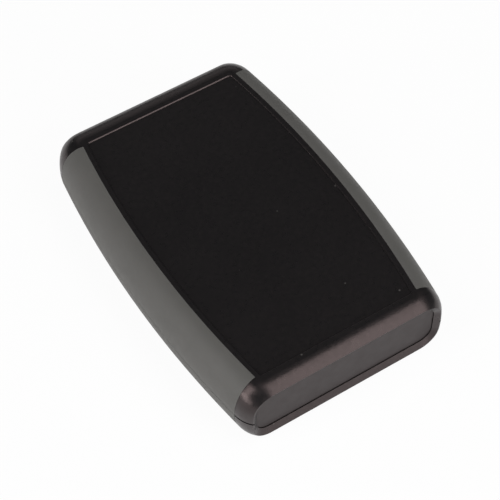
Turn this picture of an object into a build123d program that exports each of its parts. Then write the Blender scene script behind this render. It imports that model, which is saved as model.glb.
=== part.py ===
from build123d import *
import math
import os

# Hand-held electronics case: two moulded shells with soft side grips, and a loose panel in each end.
# Millimetres. Origin at the middle of the footprint, +X across, +Y along, +Z up.
# Each half is worked out standing on the parting plane, and lifted or turned over at the end.

# ---- outside form ----
case_length = 115.0            # over the two end rims
case_height = 24.5
waist_width = 80.4             # over the grips, half way along
side_bow = 3.55                # the grips stand out this much more at the waist than at their ends
side_run = 8.1                 # the sides slope in this far from the parting to the flat top, at the waist
top_bow = 3.75                 # bow of the flat top's edge
side_fullness = 2.2            # 2 is an elliptical side, more is fuller
bumper_length = 7.0            # from the end of the case to the grips, along the flat top
bumper_lean = 10.0             # degrees; the joint with a grip leans towards the end as it goes out
bumper_roll_radius = 7.5       # round from the flat top over each end
bumper_roll_start = 4.9        # that round starts this far from the end of the case
bumper_corner_radius = 9.3     # upright corner, at mid height
flat_corner_radius = 2.6       # the same corner, where it fades into the flat top
least_corner_radius = 1.0      # upright corners inside the case get no sharper than this
flat_land = 0.1                # the shell's own surface runs this far over the edge of the flat
face_recess_margin = 1.7       # shallow seat for a keypad or label, in from the edges of the flat
face_recess_end = 6.8          # the same, from the end of the case
face_recess_depth = 0.45
face_recess_corner = 0.8
face_rim_round = 0.4           # the edge of that seat is rounded over

# ---- shells and grips ----
wall = 2.2
grip_thickness = 2.0
side_wall = 2.0
grip_gap = 0.16                # between an upper and a lower grip
grip_end_gap = 0.12            # between a grip and the bumper
reveal_height = 0.65           # shadow groove at the parting of the bumpers
reveal_depth = 1.0
lip_height = 1.4               # raised lip of the lower shell, inside the upper one
lip_thickness = 1.0
lip_stop = 1.6                 # the lip ends this far before the bumpers
lip_clearance = 0.1

# ---- end panels and the frames that hold them ----
panel_thickness = 2.0
panel_set_back = 1.4           # front of the panel behind the end of the case
panel_side_margin = 3.85       # in from the side of the case, where the bumpers start
panel_top_margin = 2.95
panel_corner_radius = 5.6
panel_clearance = 0.15
panel_front_gap = 0.25         # play in front of the panel, behind the rim
rim_cover = 1.25               # the rim laps this much over the panel's edge
rim_slope_side = 1.6           # sloped inside face of the rim, seen from the end
rim_slope_top = 2.5
rim_mouth_corner = 7.0
frame_thickness = 1.4          # frame behind the panel
frame_cover = 1.6

# ---- screws, bosses and board posts ----
screw_diameter = 2.9
screw_length = 13.0
screw_point_length = 1.5
screw_head_diameter = 5.4
screw_head_height = 2.1
screw_head_round = 0.8
drive_width = 3.0
drive_slot = 0.8
drive_depth = 1.3
screw_side_margin = 13.15      # screws in from the side of the case, where the bumpers start
screw_end_margin = 15.5
screw_seat_height = 5.4        # heads seat this far above the bottom
screw_hole_clearance = 0.4
counterbore_clearance = 0.6
boss_diameter = 8.4
pilot_boss_diameter = 6.8
pilot_extra_depth = 1.2
boss_gap = 0.1
web_thickness = 1.4
web_drop = 2.5                 # webs stop this far short of the parting plane
post_spacing_x = 33.0
post_spacing_y = 62.0
post_diameter = 5.6
post_hole_diameter = 2.3
post_height = 4.0
post_hole_depth = 4.8
moulding_draft = 1.0           # degrees
weld = 0.5                     # bosses and webs run this far into the wall that carries them

# ---- worked out from the sizes above ----
half_height = case_height / 2
half_length = case_length / 2
half_grip = half_length - bumper_length
roll_centre = half_length - bumper_roll_start
waist_half = waist_width / 2
grip_end_half = waist_half - side_bow
top_waist_half = waist_half - side_run
top_end_half = top_waist_half - top_bow
side_inset = grip_thickness + side_wall
panel_width = 2 * (grip_end_half - panel_side_margin)
panel_height = case_height - 2 * panel_top_margin
panel_front = half_length - panel_set_back
panel_back = panel_front - panel_thickness
rim_back = panel_front + panel_front_gap
cavity_end = panel_back - frame_thickness
screw_spacing_x = 2 * (grip_end_half - screw_side_margin)
screw_spacing_y = case_length - 2 * screw_end_margin
ceiling = half_height - wall
seat = screw_seat_height - half_height
beyond = 2 * (waist_width + case_length)      # far outside the case
past = 1.0                                    # cutting shapes run this far past what they cut
LEVELS = [0, 6, 16, 29, 42, 54, 65, 75, 83, 90]     # degrees, from the parting round to the flat top
RIM_LEVELS = [0, 25, 48, 66, 85]                    # degrees round the edge of the face seat
RIM_TOP = 75                                        # it meets the flat at this one


def bowed_outline(at_waist, at_bumper, y_end, corner):
    """Plan outline with round corners, whose bowed sides pass the waist and the bumpers' edges."""
    bow = at_waist - at_bumper
    arc_radius = (half_grip**2 + bow**2) / (2 * bow)
    x_end = at_waist - arc_radius + math.sqrt(arc_radius**2 - y_end**2)
    with BuildSketch() as outline:
        with BuildLine():
            ThreePointArc((x_end, -y_end), (at_waist, 0), (x_end, y_end))
            Line((x_end, y_end), (-x_end, y_end))
            ThreePointArc((-x_end, y_end), (-at_waist, 0), (-x_end, -y_end))
            Line((-x_end, -y_end), (x_end, -y_end))
        make_face()
        fillet(outline.vertices(), corner)
    return outline.sketch


def level_outline(degrees, side_in=0.0, top_in=0.0):
    """Outline of a half at one level: 0 degrees is the parting plane, 90 the flat top."""
    out = math.cos(math.radians(degrees)) ** (2 / side_fullness)
    rise = math.sin(math.radians(degrees)) ** (2 / side_fullness)
    height = (half_height - top_in) * rise
    at_waist = top_waist_half + (side_run - side_in) * out
    at_bumper = top_end_half + (grip_end_half - top_end_half - side_in) * out
    roll = bumper_roll_radius - top_in
    into_roll = max(0.0, height - (half_height - bumper_roll_radius))
    y_end = roll_centre + math.sqrt(max(roll**2 - into_roll**2, 0.0))
    corner = flat_corner_radius + (bumper_corner_radius - flat_corner_radius) * out - side_in
    return Pos(0, 0, height) * bowed_outline(at_waist, at_bumper, y_end, max(corner, least_corner_radius))


def half_form(side_in=0.0, top_in=0.0):
    """One half of the case's form on its parting plane, drawn in from the outside by the insets."""
    return loft([level_outline(degrees, side_in, top_in) for degrees in LEVELS])


def band(x_size, y_size, z_low, z_high):
    """Box centred on X and Y, from one height to another."""
    return Pos(0, 0, (z_low + z_high) / 2) * Box(x_size, y_size, z_high - z_low)


def tall_slab(outline):
    """Upright slab of a plan outline, through the whole of a half and out past it both ways."""
    return Pos(0, 0, -past) * extrude(outline, half_height + 2 * past)


def end_outline(width, height, corner, y):
    """Rounded rectangle across the case at one distance along it."""
    across = Plane(origin=(0, y, 0), x_dir=(1, 0, 0), z_dir=(0, 1, 0))
    return across * RectangleRounded(width, height, corner)


def end_plate(width, height, corner, y_near, y_far):
    return extrude(end_outline(width, height, corner, y_near), amount=y_far - y_near)


def at_corners(spacing_x, spacing_y, shape):
    """Four copies of a shape, at the corners of a rectangle about the Z axis."""
    half_x = spacing_x / 2
    half_y = spacing_y / 2
    return [Pos(x, y, 0) * shape for x in (-half_x, half_x) for y in (-half_y, half_y)]


def drafted_post(diameter, z_low, z_high):
    """Round post that widens towards its root at z_high, as it has to leave the mould."""
    root = diameter / 2 + (z_high - z_low) * math.tan(math.radians(moulding_draft))
    return Pos(0, 0, (z_low + z_high) / 2) * Cone(diameter / 2, root, z_high - z_low)


def bore(diameter, z_low, z_high):
    return Pos(0, 0, (z_low + z_high) / 2) * Cylinder(diameter / 2, z_high - z_low)


def between_bumpers(gap=0.0):
    """Everything between the bumpers in one half, short of each by a gap. Its ends lean outwards."""
    lean = math.tan(math.radians(bumper_lean))
    y_middle = half_grip - gap - top_end_half * lean
    y_far = y_middle + beyond * lean
    right_side = [(0, y_middle), (beyond, y_far), (beyond, -y_far), (0, -y_middle)]
    left_side = [(-beyond, -y_far), (-beyond, y_far)]
    return tall_slab(make_face(Polyline(right_side + left_side, close=True)))


# ---- the form, and what is taken out of each half of it ----
FORM = half_form()
GRIP_BED = half_form(side_in=grip_thickness, top_in=grip_thickness)
CAVITY = half_form(side_in=side_inset, top_in=wall) & tall_slab(Rectangle(beyond, 2 * cavity_end))
FLAT = tall_slab(
    bowed_outline(top_waist_half + flat_land, top_end_half + flat_land, half_length, flat_corner_radius)
)


def end_opening():
    """Sloped mouth, groove for the panel, and the opening behind it, at the rear end."""
    mouth_width = panel_width - 2 * rim_cover
    mouth_height = panel_height - 2 * rim_cover
    outer_width = mouth_width + 2 * rim_slope_side
    outer_height = mouth_height + 2 * rim_slope_top
    mouth = loft([
        end_outline(mouth_width, mouth_height, panel_corner_radius - rim_cover, rim_back),
        end_outline(outer_width, outer_height, rim_mouth_corner, half_length),
    ])
    groove = end_plate(
        panel_width + 2 * panel_clearance, panel_height + 2 * panel_clearance,
        panel_corner_radius + panel_clearance, panel_back, rim_back,
    )
    behind = end_plate(
        panel_width - 2 * frame_cover, panel_height - 2 * frame_cover,
        panel_corner_radius - frame_cover, cavity_end - weld, panel_back,
    )
    return mouth + groove + behind


def reveal():
    """Shadow groove round the bumpers, half of it in each shell."""
    ring = band(beyond, case_length + past, -past, reveal_height / 2)
    ring -= tall_slab(level_outline(0, side_in=reveal_depth))
    return ring - between_bumpers()


def half_shell():
    """What the two shells share: outside, grip beds, inside, panel grooves and the shadow groove."""
    shell = FORM & tall_slab(Rectangle(beyond, case_length))
    shell -= between_bumpers() - FLAT - GRIP_BED
    shell -= CAVITY
    opening = end_opening()
    shell -= opening
    shell -= mirror(opening, Plane.XZ)
    return shell - reveal()


def webs():
    """Ribs from the four screw bosses out to the side walls."""
    rib = band(beyond, web_thickness, web_drop, half_height)
    slot = [Pos(0, y, 0) * rib for y in (-screw_spacing_y / 2, screw_spacing_y / 2)]
    inner = band(screw_spacing_x, beyond, 0, half_height)
    return (Part() + slot - inner) & half_form(side_in=side_inset - weld, top_in=wall - weld) & GRIP_BED


def board_posts():
    """Four posts for a circuit board, with blind holes for small screws."""
    posts = Part() + at_corners(
        post_spacing_x, post_spacing_y, drafted_post(post_diameter, ceiling - post_height, ceiling + weld)
    )
    hole = bore(post_hole_diameter, ceiling - post_height, ceiling - post_height + post_hole_depth)
    return posts, at_corners(post_spacing_x, post_spacing_y, hole)


def lip_band(thickness, height):
    """The strip along both side walls that the lip stands on, or the rebate that takes it."""
    strip = level_outline(0, side_in=side_inset - thickness) - level_outline(0, side_in=side_inset)
    return extrude(strip, height) & band(beyond, 2 * (half_grip - lip_stop), 0, height)


def face_recess():
    """What is cut from the flat top: a shallow seat, flared at the top to leave a rounded edge."""
    def seat_outline(flare, z):
        margin = face_recess_margin - flare
        y_end = half_length - face_recess_end + flare
        seat = bowed_outline(top_waist_half - margin, top_end_half - margin, y_end, face_recess_corner + flare)
        return Pos(0, 0, z) * seat

    rim_foot = half_height - face_rim_round * math.sin(math.radians(RIM_TOP))
    flared = []
    for degrees in RIM_LEVELS:
        angle = math.radians(degrees)
        flare = face_rim_round * (1 - math.cos(angle))
        flared.append(seat_outline(flare, rim_foot + face_rim_round * math.sin(angle)))
    floor = extrude(seat_outline(0, half_height - face_recess_depth), face_recess_depth + past)
    return floor + loft(flared)


def make_top_shell():
    shell = half_shell()
    posts, holes = board_posts()
    boss = drafted_post(pilot_boss_diameter, boss_gap, ceiling + weld)
    shell = shell + webs() + at_corners(screw_spacing_x, screw_spacing_y, boss) + posts
    pilot_end = seat + screw_length + pilot_extra_depth
    shell -= at_corners(screw_spacing_x, screw_spacing_y, bore(screw_diameter, -past, pilot_end))
    shell -= holes
    rebate = lip_band(lip_thickness + lip_clearance, lip_height + lip_clearance)
    return Pos(0, 0, half_height) * (shell - rebate - face_recess())


def make_bottom_shell():
    shell = half_shell()
    posts, holes = board_posts()
    boss = drafted_post(boss_diameter, 0, ceiling + weld)
    shell = shell + webs() + at_corners(screw_spacing_x, screw_spacing_y, boss) + posts - holes
    counterbore = bore(screw_head_diameter + counterbore_clearance, -seat, half_height + past)
    clearance_hole = bore(screw_diameter + screw_hole_clearance, -past, half_height)
    shell -= at_corners(screw_spacing_x, screw_spacing_y, counterbore + clearance_hole)
    shell = Pos(0, 0, half_height) * mirror(shell, Plane.XY)
    return shell + Pos(0, 0, half_height) * lip_band(lip_thickness, lip_height)


def make_grips():
    """The two soft grips of the upper half, left and right."""
    pair = (FORM & between_bumpers(grip_end_gap)) - FLAT - GRIP_BED
    pair -= band(beyond, beyond, -past, grip_gap / 2)
    return sorted(pair.solids(), key=lambda solid: solid.center().X)


def make_end_panel():
    """Flat panel in the rear end."""
    panel = end_plate(panel_width, panel_height, panel_corner_radius, panel_back, panel_front)
    return Pos(0, 0, half_height) * panel


def make_screw():
    """Thread-forming screw, head down, with its seat at the height of the counterbore's floor."""
    shank = screw_diameter / 2
    head = Pos(0, 0, -screw_head_height / 2) * Cylinder(screw_head_diameter / 2, screw_head_height)
    head = fillet(head.edges().group_by(Axis.Z)[0], screw_head_round)
    body = bore(screw_diameter, 0, screw_length - screw_point_length)
    point = Pos(0, 0, screw_length - screw_point_length / 2) * Cone(shank, shank / 3, screw_point_length)
    arm = Pos(0, 0, drive_depth / 2 - screw_head_height) * Box(drive_width, drive_slot, drive_depth)
    screw = head + body + point - arm - Rot(0, 0, 90) * arm
    return Pos(0, 0, screw_seat_height) * screw


# ---- write one file for each piece ----
os.makedirs("parts", exist_ok=True)
left_grip, right_grip = make_grips()
rear_panel = make_end_panel()
pieces = {
    "top_shell": make_top_shell(),
    "bottom_shell": make_bottom_shell(),
    "grip_top_left": Pos(0, 0, half_height) * left_grip,
    "grip_top_right": Pos(0, 0, half_height) * right_grip,
    "grip_bottom_left": Pos(0, 0, half_height) * mirror(left_grip, Plane.XY),
    "grip_bottom_right": Pos(0, 0, half_height) * mirror(right_grip, Plane.XY),
    "end_panel_front": mirror(rear_panel, Plane.XZ),
    "end_panel_rear": rear_panel,
    "case_screws": Compound(children=at_corners(screw_spacing_x, screw_spacing_y, make_screw())),
}
for name, piece in pieces.items():
    export_step(piece, f"parts/{name}.step")
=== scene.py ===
import math
import bmesh
import bpy
from mathutils import Matrix, Vector


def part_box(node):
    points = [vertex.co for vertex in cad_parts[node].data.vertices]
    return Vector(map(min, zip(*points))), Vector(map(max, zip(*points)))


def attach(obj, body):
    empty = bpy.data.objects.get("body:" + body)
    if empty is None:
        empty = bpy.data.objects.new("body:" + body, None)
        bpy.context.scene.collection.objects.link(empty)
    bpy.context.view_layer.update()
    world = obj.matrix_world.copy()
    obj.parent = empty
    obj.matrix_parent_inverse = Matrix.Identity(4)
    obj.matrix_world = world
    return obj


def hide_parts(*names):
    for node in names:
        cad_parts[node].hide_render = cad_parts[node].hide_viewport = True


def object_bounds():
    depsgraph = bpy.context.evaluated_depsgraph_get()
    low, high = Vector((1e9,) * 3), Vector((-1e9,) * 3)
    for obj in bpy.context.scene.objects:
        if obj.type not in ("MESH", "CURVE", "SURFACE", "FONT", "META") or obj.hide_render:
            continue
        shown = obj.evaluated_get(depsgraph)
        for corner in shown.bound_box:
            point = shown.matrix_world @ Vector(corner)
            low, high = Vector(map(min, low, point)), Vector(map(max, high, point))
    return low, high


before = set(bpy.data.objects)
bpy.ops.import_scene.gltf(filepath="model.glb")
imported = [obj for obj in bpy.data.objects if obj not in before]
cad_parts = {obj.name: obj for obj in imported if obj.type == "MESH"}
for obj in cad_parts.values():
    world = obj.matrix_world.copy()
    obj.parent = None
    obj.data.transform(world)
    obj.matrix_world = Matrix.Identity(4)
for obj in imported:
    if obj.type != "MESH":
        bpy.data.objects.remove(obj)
cad_low, cad_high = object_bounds()


# ---- bottom shell ----
# The lower half of the case, standing on the floor with the screw heads in its underside.
# It is moulded in black ABS in a spark-eroded mould, which leaves a fine, faintly glossy grain.
def node_material(name):
    """A new material, with its Principled shader and its object coordinates."""
    material = bpy.data.materials.new(name)
    material.use_nodes = True
    tree = material.node_tree
    place = tree.nodes.new("ShaderNodeTexCoord").outputs["Object"]
    return material, tree, tree.nodes["Principled BSDF"], place


def noise(tree, place, scale, detail=2.0):
    """Noise over the piece, with its grain in waves per metre."""
    texture = tree.nodes.new("ShaderNodeTexNoise")
    texture.inputs["Scale"].default_value = scale
    texture.inputs["Detail"].default_value = detail
    tree.links.new(place, texture.inputs["Vector"])
    return texture.outputs["Fac"]


def spread(tree, value, low, high, start=0.3, end=0.7):
    """The value's range from start to end, spread over low to high."""
    stretch = tree.nodes.new("ShaderNodeMapRange")
    for name, number in (("From Min", start), ("From Max", end), ("To Min", low), ("To Max", high)):
        stretch.inputs[name].default_value = number
    tree.links.new(value, stretch.inputs["Value"])
    return stretch.outputs["Result"]


def blend_colours(tree, share, first, second):
    """A mix of two colours, either of which may be another node's output."""
    mix = tree.nodes.new("ShaderNodeMix")
    mix.data_type = "RGBA"
    tree.links.new(share, mix.inputs["Factor"])
    for socket, colour in ((mix.inputs[6], first), (mix.inputs[7], second)):
        if isinstance(colour, tuple):
            socket.default_value = (*colour, 1.0)
        else:
            tree.links.new(colour, socket)
    return mix.outputs[2]


def grain_bump(tree, shader, layers):
    """Stack fine surface relief, each layer with its height field and its depth in metres."""
    normal = None
    for height, depth in layers:
        bump = tree.nodes.new("ShaderNodeBump")
        bump.inputs["Distance"].default_value = depth
        tree.links.new(height, bump.inputs["Height"])
        if normal:
            tree.links.new(normal, bump.inputs["Normal"])
        normal = bump.outputs["Normal"]
    tree.links.new(normal, shader.inputs["Normal"])


def dress(node_name, material):
    """Give every slot of a piece of the case the same finish."""
    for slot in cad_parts[node_name].material_slots:
        slot.material = material


shell_black = (0.0102, 0.0099, 0.0104)
shell_worn_black = (0.0116, 0.0111, 0.0116)
dust_grey = (0.075, 0.072, 0.068)
shell_sheen = (1.0, 0.77, 0.75, 1.0)
dust_waves = 130.0
dust_size = 0.02
dust_edge = 0.05
shell_cloud_waves = 45.0
shell_gloss_waves = 700.0
grain_waves = 2400.0
grain_depth = 0.00001
ripple_waves = 900.0
ripple_depth = 0.000014
shell_plastic, tree, shader, place = node_material("shell_spark_texture")
cloud = spread(tree, noise(tree, place, shell_cloud_waves, 4.0), 0.0, 1.0)
tone = blend_colours(tree, cloud, shell_black, shell_worn_black)
dust = tree.nodes.new("ShaderNodeTexVoronoi")
dust.inputs["Scale"].default_value = dust_waves
tree.links.new(place, dust.inputs["Vector"])
speck = spread(tree, dust.outputs["Distance"], 1.0, 0.0, dust_size, dust_edge)
tree.links.new(blend_colours(tree, speck, tone, dust_grey), shader.inputs["Base Color"])
tree.links.new(spread(tree, noise(tree, place, shell_gloss_waves), 0.27, 0.34), shader.inputs["Roughness"])
shader.inputs["Specular IOR Level"].default_value = 0.50
shader.inputs["Specular Tint"].default_value = shell_sheen
grain = noise(tree, place, grain_waves, 3.0)
ripple = noise(tree, place, ripple_waves)
grain_bump(tree, shader, [(grain, grain_depth), (ripple, ripple_depth)])
dress("bottom_shell", shell_plastic)


# ---- end panels ----
# A flat plate in each end, dropped into a groove between the two shells before they are closed.
# They are sheet-like mouldings in a smooth dark grey ABS, meant to be drilled for connectors.
panel_grey = (0.0125, 0.0105, 0.0105)
panel_light_grey = (0.0150, 0.0127, 0.0127)
panel_sheen = (1.0, 0.76, 0.76, 1.0)
panel_cloud_waves = 120.0
panel_gloss_waves = 300.0
panel_grain_waves = 2200.0
panel_grain_depth = 0.000004
panel_plastic, tree, shader, place = node_material("panel_smooth")
cloud = spread(tree, noise(tree, place, panel_cloud_waves, 5.0), 0.0, 1.0)
tree.links.new(blend_colours(tree, cloud, panel_grey, panel_light_grey), shader.inputs["Base Color"])
tree.links.new(spread(tree, noise(tree, place, panel_gloss_waves), 0.40, 0.46), shader.inputs["Roughness"])
shader.inputs["Specular IOR Level"].default_value = 0.30
shader.inputs["Specular Tint"].default_value = panel_sheen
grain_bump(tree, shader, [(noise(tree, place, panel_grain_waves), panel_grain_depth)])
for name in ("end_panel_front", "end_panel_rear"):
    dress(name, panel_plastic)


# ---- top shell ----
# The upper half of the case, which closes over the lower one's lip and carries the face seat.
# It comes from the same kind of mould in the same black ABS, so it takes the same finish.
dress("top_shell", shell_plastic)


# ---- side grips ----
# Four soft strips moulded onto the sides of the shells, an upper and a lower one on each side.
# They are a grey thermoplastic elastomer with a dry, even skin.
grip_grey = (0.098, 0.095, 0.089)
grip_light_grey = (0.106, 0.102, 0.096)
grip_cloud_waves = 90.0
grip_gloss_waves = 400.0
grip_grain_waves = 3000.0
grip_grain_depth = 0.000006
grip_rubber, tree, shader, place = node_material("grip_soft_touch")
cloud = spread(tree, noise(tree, place, grip_cloud_waves, 4.0), 0.0, 1.0)
tree.links.new(blend_colours(tree, cloud, grip_grey, grip_light_grey), shader.inputs["Base Color"])
tree.links.new(spread(tree, noise(tree, place, grip_gloss_waves), 0.56, 0.64), shader.inputs["Roughness"])
shader.inputs["Specular IOR Level"].default_value = 0.35
grain_bump(tree, shader, [(noise(tree, place, grip_grain_waves), grip_grain_depth)])
for name in ("grip_top_left", "grip_top_right", "grip_bottom_left", "grip_bottom_right"):
    dress(name, grip_rubber)


# ---- case screws ----
# Four thread-forming screws, driven up through the bottom shell into the bosses of the top one.
# They are zinc-plated steel with a pan head and a cross recess, seated deep in their counterbores.
screw_low, screw_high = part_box("case_screws")
head_radius = 0.0027
head_height = 0.0021
head_round = 0.0008
recess_length = 0.0030
recess_width = 0.0008
recess_depth = 0.0013
recess_taper = 0.6
core_radius = 0.00108
thread_radius = 0.00145
thread_pitch = 0.0011
point_length = 0.0015
head_sides = 48
shank_sides = 32
thread_steps = 24
blunt_share = 0.2
merge_distance = 1e-7
zinc = (0.62, 0.62, 0.60)
dulled_zinc = (0.50, 0.51, 0.52)
zinc_cloud_waves = 260.0
zinc_gloss_waves = 900.0
zinc_grain_waves = 2200.0
zinc_grain_depth = 0.000003

screw_zinc, tree, shader, place = node_material("screw_zinc")
shader.inputs["Metallic"].default_value = 1.0
dulled = spread(tree, noise(tree, place, zinc_cloud_waves, 4.0), 0.0, 1.0)
tree.links.new(blend_colours(tree, dulled, zinc, dulled_zinc), shader.inputs["Base Color"])
tree.links.new(spread(tree, noise(tree, place, zinc_gloss_waves), 0.24, 0.38), shader.inputs["Roughness"])
grain_bump(tree, shader, [(noise(tree, place, zinc_grain_waves), zinc_grain_depth)])


def finished_mesh(name, shape):
    """A bmesh made into a mesh with merged points and its faces turned outwards."""
    bmesh.ops.remove_doubles(shape, verts=shape.verts, dist=merge_distance)
    bmesh.ops.recalc_face_normals(shape, faces=shape.faces)
    mesh = bpy.data.meshes.new(name)
    shape.to_mesh(mesh)
    shape.free()
    return mesh


def turned_head():
    """The pan head, turned about Z with its seat at height 0 and its round edge at the bottom."""
    shape = bmesh.new()
    profile = [(0.0, 0.0), (head_radius, 0.0)]
    for degrees in range(0, 91, 15):
        angle = math.radians(degrees)
        profile.append((
            head_radius - head_round * (1 - math.cos(angle)),
            head_round - head_height - head_round * math.sin(angle),
        ))
    profile.append((0.0, -head_height))
    line = [shape.verts.new((radius, 0.0, height)) for radius, height in profile]
    edges = [shape.edges.new(pair) for pair in zip(line, line[1:])]
    bmesh.ops.spin(
        shape, geom=line + edges, cent=(0, 0, 0), axis=(0, 0, 1), angle=math.tau, steps=head_sides,
        use_merge=True,
    )
    return finished_mesh("screw_head", shape)


def cross_recess():
    """The driver's cross, as a solid to be cut from the head: two arms that narrow as they go in."""
    shape = bmesh.new()
    for length, width in ((recess_length, recess_width), (recess_width, recess_length)):
        arm = bmesh.ops.create_cube(shape, size=1.0)["verts"]
        for point in arm:
            narrow = recess_taper if point.co.z > 0 else 1.0
            point.co.x *= length * narrow
            point.co.y *= width * narrow
            point.co.z = (point.co.z * 2 * recess_depth) - head_height
    return finished_mesh("screw_recess", shape)


def screw_set_tree():
    """Node tree: completes one screw from its head, and sets four of them at the case's corners."""
    tree = bpy.data.node_groups.new("screw_set", "GeometryNodeTree")
    face = tree.interface
    face.new_socket("Head", in_out="INPUT", socket_type="NodeSocketGeometry")
    lengths = ["Spacing X", "Spacing Y", "Seat Height", "Core Radius"]
    lengths += ["Thread Radius", "Pitch", "Shank", "Point"]
    for name in lengths:
        face.new_socket(name, in_out="INPUT", socket_type="NodeSocketFloat")
    face.new_socket("Finish", in_out="INPUT", socket_type="NodeSocketMaterial")
    face.new_socket("Screws", in_out="OUTPUT", socket_type="NodeSocketGeometry")
    given = tree.nodes.new("NodeGroupInput").outputs
    link = tree.links.new

    def math_node(operation, first, second):
        node = tree.nodes.new("ShaderNodeMath")
        node.operation = operation
        for socket, value in zip(node.inputs, (first, second)):
            if isinstance(value, float):
                socket.default_value = value
            else:
                link(value, socket)
        return node.outputs[0]

    def moved(geometry, height):
        offset = tree.nodes.new("ShaderNodeCombineXYZ")
        link(height, offset.inputs["Z"])
        move = tree.nodes.new("GeometryNodeTransform")
        link(geometry, move.inputs["Geometry"])
        link(offset.outputs[0], move.inputs["Translation"])
        return move.outputs["Geometry"]

    plain = math_node("SUBTRACT", given["Shank"], given["Point"])
    core = tree.nodes.new("GeometryNodeMeshCylinder")
    core.inputs["Vertices"].default_value = shank_sides
    link(given["Core Radius"], core.inputs["Radius"])
    link(plain, core.inputs["Depth"])
    point = tree.nodes.new("GeometryNodeMeshCone")
    point.inputs["Vertices"].default_value = shank_sides
    link(math_node("MULTIPLY", given["Core Radius"], blunt_share), point.inputs["Radius Top"])
    link(given["Core Radius"], point.inputs["Radius Bottom"])
    link(given["Point"], point.inputs["Depth"])
    helix = tree.nodes.new("GeometryNodeCurveSpiral")
    helix.inputs["Resolution"].default_value = thread_steps
    link(math_node("DIVIDE", plain, given["Pitch"]), helix.inputs["Rotations"])
    link(given["Core Radius"], helix.inputs["Start Radius"])
    link(given["Core Radius"], helix.inputs["End Radius"])
    link(plain, helix.inputs["Height"])
    upright = tree.nodes.new("GeometryNodeSetCurveNormal")
    upright.mode = "Z_UP"
    link(helix.outputs[0], upright.inputs["Curve"])
    ridge = tree.nodes.new("GeometryNodeCurvePrimitiveCircle")
    ridge.inputs["Resolution"].default_value = 3
    link(math_node("SUBTRACT", given["Thread Radius"], given["Core Radius"]), ridge.inputs["Radius"])
    thread = tree.nodes.new("GeometryNodeCurveToMesh")
    thread.inputs["Fill Caps"].default_value = True
    link(upright.outputs[0], thread.inputs["Curve"])
    link(ridge.outputs[0], thread.inputs["Profile Curve"])
    whole = tree.nodes.new("GeometryNodeJoinGeometry")
    link(given["Head"], whole.inputs[0])
    link(moved(core.outputs["Mesh"], math_node("MULTIPLY", plain, 0.5)), whole.inputs[0])
    link(moved(point.outputs["Mesh"], plain), whole.inputs[0])
    link(thread.outputs[0], whole.inputs[0])
    corners = tree.nodes.new("GeometryNodeMeshGrid")
    corners.inputs["Vertices X"].default_value = 2
    corners.inputs["Vertices Y"].default_value = 2
    link(given["Spacing X"], corners.inputs["Size X"])
    link(given["Spacing Y"], corners.inputs["Size Y"])
    copies = tree.nodes.new("GeometryNodeInstanceOnPoints")
    link(corners.outputs["Mesh"], copies.inputs["Points"])
    link(whole.outputs[0], copies.inputs["Instance"])
    solid = tree.nodes.new("GeometryNodeRealizeInstances")
    link(moved(copies.outputs[0], given["Seat Height"]), solid.inputs[0])
    coat = tree.nodes.new("GeometryNodeSetMaterial")
    link(solid.outputs[0], coat.inputs["Geometry"])
    link(given["Finish"], coat.inputs["Material"])
    link(coat.outputs[0], tree.nodes.new("NodeGroupOutput").inputs[0])
    return tree


screws = bpy.data.objects.new("threaded_screws", turned_head())
cutter = bpy.data.objects.new("screw_recess", cross_recess())
for item in (screws, cutter):
    bpy.context.scene.collection.objects.link(item)
cut = screws.modifiers.new("recess", "BOOLEAN")
cut.operation = "DIFFERENCE"
cut.solver = "EXACT"
cut.use_self = True
cut.object = cutter
assembly = screws.modifiers.new("screw_set", "NODES")
assembly.node_group = screw_set_tree()
seat_height = screw_low[2] + head_height
screw_sizes = {
    "Spacing X": screw_high[0] - screw_low[0] - 2 * head_radius,
    "Spacing Y": screw_high[1] - screw_low[1] - 2 * head_radius,
    "Seat Height": seat_height,
    "Core Radius": core_radius,
    "Thread Radius": thread_radius,
    "Pitch": thread_pitch,
    "Shank": screw_high[2] - seat_height,
    "Point": point_length,
    "Finish": screw_zinc,
}
for socket in assembly.node_group.interface.items_tree:
    if socket.name in screw_sizes:
        assembly[socket.identifier] = screw_sizes[socket.name]
evaluated = screws.evaluated_get(bpy.context.evaluated_depsgraph_get())
screws.data = bpy.data.meshes.new_from_object(evaluated)
screws.modifiers.clear()
bpy.data.objects.remove(cutter)
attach(screws, "root")
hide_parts("case_screws")


# ---- floor ----
# A plain white studio floor. The camera, reflections and clear pieces see it nearly pure white,
# and its own matt white still takes the case's shadow and lights the case from below.
floor_reach = 4.0
floor_colour = (0.9, 0.9, 0.9, 1.0)
white_share = 0.95
floor_mesh = bpy.data.meshes.new("floor")
corners = [(-floor_reach, -floor_reach, 0), (floor_reach, -floor_reach, 0)]
corners += [(floor_reach, floor_reach, 0), (-floor_reach, floor_reach, 0)]
floor_mesh.from_pydata(corners, [], [(0, 1, 2, 3)])
floor = bpy.data.objects.new("floor", floor_mesh)
bpy.context.scene.collection.objects.link(floor)
floor_white, tree, shader, place = node_material("floor_white")
shader.inputs["Base Color"].default_value = floor_colour
shader.inputs["Roughness"].default_value = 0.9
shader.inputs["Specular IOR Level"].default_value = 0.0
glow = tree.nodes.new("ShaderNodeEmission")
glow.inputs["Strength"].default_value = 1.0
path = tree.nodes.new("ShaderNodeLightPath")
seen = path.outputs["Is Camera Ray"]
for kind in ("Is Glossy Ray", "Is Transmission Ray"):
    either = tree.nodes.new("ShaderNodeMath")
    either.operation = "MAXIMUM"
    tree.links.new(seen, either.inputs[0])
    tree.links.new(path.outputs[kind], either.inputs[1])
    seen = either.outputs[0]
paper = tree.nodes.new("ShaderNodeMixShader")
tree.links.new(spread(tree, seen, 0.0, white_share, 0.0, 1.0), paper.inputs["Fac"])
tree.links.new(shader.outputs[0], paper.inputs[1])
tree.links.new(glow.outputs[0], paper.inputs[2])
tree.links.new(paper.outputs[0], tree.nodes["Material Output"].inputs["Surface"])
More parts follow.
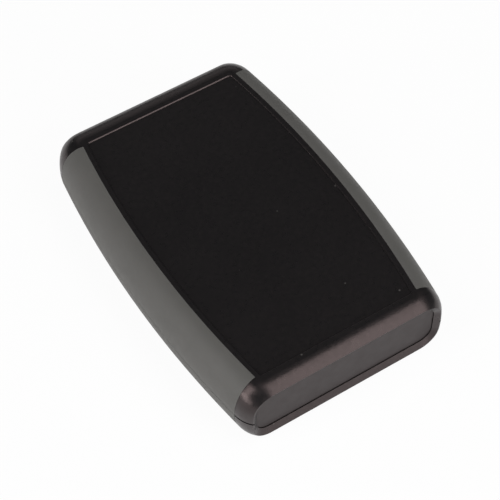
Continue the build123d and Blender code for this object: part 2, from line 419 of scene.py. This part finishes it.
floor_mesh.materials.append(floor_white)


# ---- lights ----
# Two tall softboxes, one over the near end and one on the left, and three weaker fills: one low
# on the left, one low in front and one behind.
softbox_distance = 1.2


def softbox(name, direction, across, width, height, watts):
    """A rectangular lamp that faces the case from a direction, with its width along another."""
    light = bpy.data.lights.new(name, "AREA")
    light.shape = "RECTANGLE"
    light.size = width
    light.size_y = height
    light.energy = watts
    lamp = bpy.data.objects.new(name, light)
    back = Vector(direction).normalized()
    side = (Vector(across) - Vector(across).dot(back) * back).normalized()
    turn = Matrix((side, back.cross(side), back)).transposed().to_4x4()
    lamp.matrix_world = Matrix.Translation(softbox_distance * back) @ turn
    bpy.context.scene.collection.objects.link(lamp)


softbox("overhead_softbox", (0.35, -0.56, 0.76), (1, 0, 0), 0.66, 1.75, 11.8)
softbox("left_softbox", (-0.80, 0.06, 0.58), (0, 1, 0), 0.40, 1.44, 8.2)
softbox("left_low_softbox", (-0.97, -0.05, 0.16), (0, 1, 0), 0.9, 0.26, 3.4)
softbox("front_softbox", (0.15, -0.95, 0.13), (1, 0, 0), 1.2, 0.26, 9.0)
softbox("back_softbox", (0.35, 0.85, 0.45), (1, 0, 0), 0.9, 0.5, 0.8)
world = bpy.data.worlds.new("studio")
world.use_nodes = True
world.node_tree.nodes["Background"].inputs["Color"].default_value = (1.0, 1.0, 1.0, 1.0)
world.node_tree.nodes["Background"].inputs["Strength"].default_value = 0.0
bpy.context.scene.world = world
bpy.context.scene.view_settings.view_transform = "Standard"


# ---- camera ----
# The camera looks down on the near end from the left, with the case's top face as its target.
# It stays level, and its aim is slid a little to the right and down to frame the case.
azimuth = math.radians(-32.508)
elevation = math.radians(54.532)
distance = 0.530677
aim_right = 0.001617
aim_down = 0.010519
focal_length = 124.53
right = Vector((math.cos(azimuth), math.sin(azimuth), 0.0))
along = Vector((-math.sin(azimuth), math.cos(azimuth), 0.0)) * math.cos(elevation)
view = along - Vector((0.0, 0.0, math.sin(elevation)))
up = right.cross(view)
place = Vector((0.0, 0.0, cad_high[2])) + aim_right * right - aim_down * up - distance * view
camera_data = bpy.data.cameras.new("camera")
camera_data.lens = focal_length
camera_data.sensor_width = 36.0
camera = bpy.data.objects.new("camera", camera_data)
camera.matrix_world = Matrix.Translation(place) @ Matrix((right, up, -view)).transposed().to_4x4()
bpy.context.scene.collection.objects.link(camera)
bpy.context.scene.camera = camera
